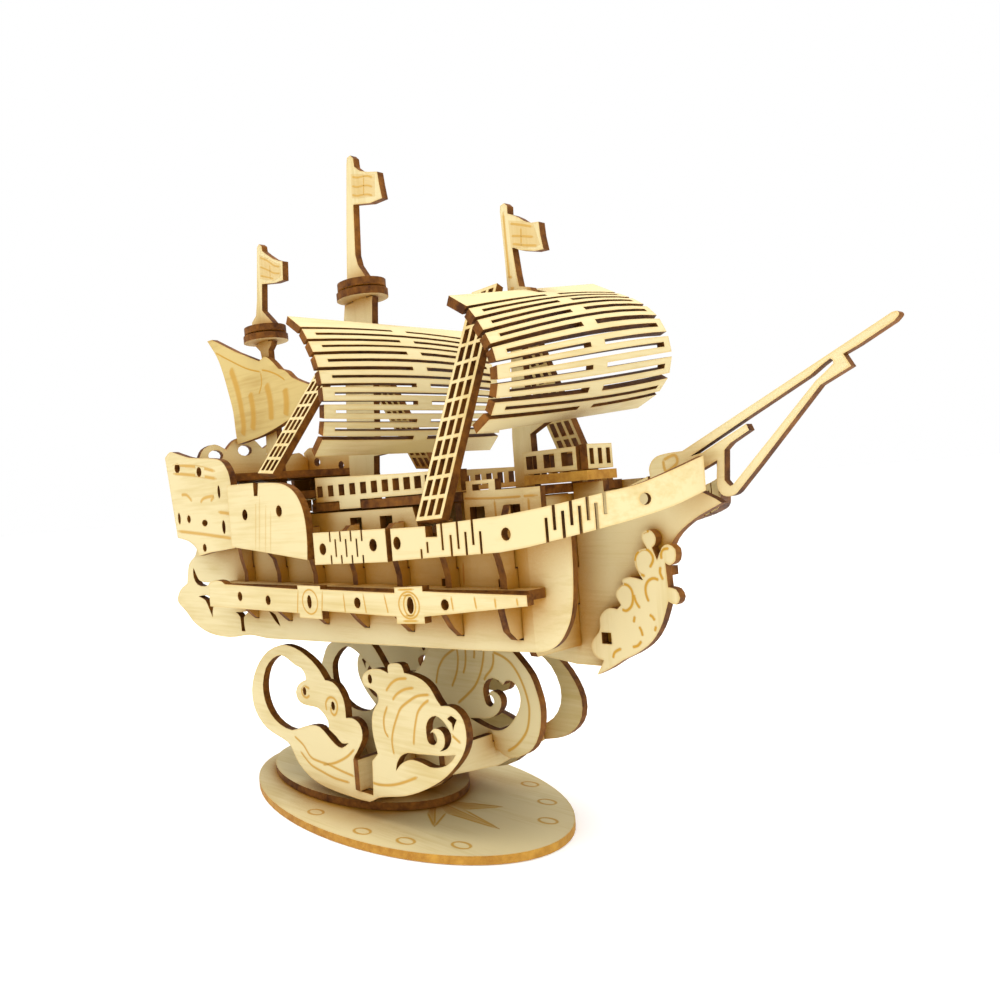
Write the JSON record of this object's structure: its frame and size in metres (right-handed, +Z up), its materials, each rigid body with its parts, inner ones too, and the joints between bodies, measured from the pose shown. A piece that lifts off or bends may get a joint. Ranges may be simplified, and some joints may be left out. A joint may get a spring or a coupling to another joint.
{
  "type": "plywood sailing ship model on stand",
  "caption": "Slot-together plywood model of a three-masted sailing ship with slatted sails, on wave-shaped stand plates over a stepped oval base.",
  "frame": {"origin": "on the underside of the oval base, below the keel", "axes": "+X towards the bow along the keel, +Y to port, +Z up along the masts"},
  "size_m": [0.2297, 0.0636, 0.1756],
  "materials": {
    "plywood": "bare laser-cut plywood with scorched edges"
  },
  "bodies": {
    "root": {"base_disc": "plywood", "bow_ornament": "plywood", "bowsprit": "plywood", "bulwark_fore_port": "plywood", "bulwark_fore_starboard": "plywood", "bulwark_mid_port": "plywood", "bulwark_mid_starboard": "plywood", "deckhouse_railing_front": "plywood", "deckhouse_railing_port": "plywood", "deckhouse_railing_starboard": "plywood", "deckhouse_roof": "plywood", "fore_mast": "plywood", "fore_sail": "plywood", "fore_shroud_port": "plywood", "fore_shroud_starboard": "plywood", "frame_1": "plywood", "frame_2": "plywood", "frame_3": "plywood", "frame_4": "plywood", "frame_5": "plywood", "frame_6": "plywood", "frame_7": "plywood", "gallery_panel_port": "plywood", "gallery_panel_starboard": "plywood", "keel_plate": "plywood", "main_deck": "plywood", "main_mast": "plywood", "main_sail": "plywood", "main_shroud_port": "plywood", "main_shroud_starboard": "plywood", "main_top_lower": "plywood", "main_top_upper": "plywood", "mid_railing_port": "plywood", "mid_railing_starboard": "plywood", "mizzen_mast": "plywood", "mizzen_sail": "plywood", "mizzen_top_lower": "plywood", "mizzen_top_upper": "plywood", "poop_deck": "plywood", "quarter_deck": "plywood", "quarter_panel_port": "plywood", "quarter_panel_starboard": "plywood", "side_plate_port": "plywood", "side_plate_starboard": "plywood", "stand_cross_aft": "plywood", "stand_cross_fore": "plywood", "stand_cross_mid": "plywood", "step_disc": "plywood", "transom": "plywood", "wale_shelf_port": "plywood", "wale_shelf_starboard": "plywood", "wale_strip_port": "plywood", "wale_strip_starboard": "plywood", "wave_plate_middle": "plywood", "wave_plate_port": "plywood", "wave_plate_starboard": "plywood"}
  },
  "joints": []
}
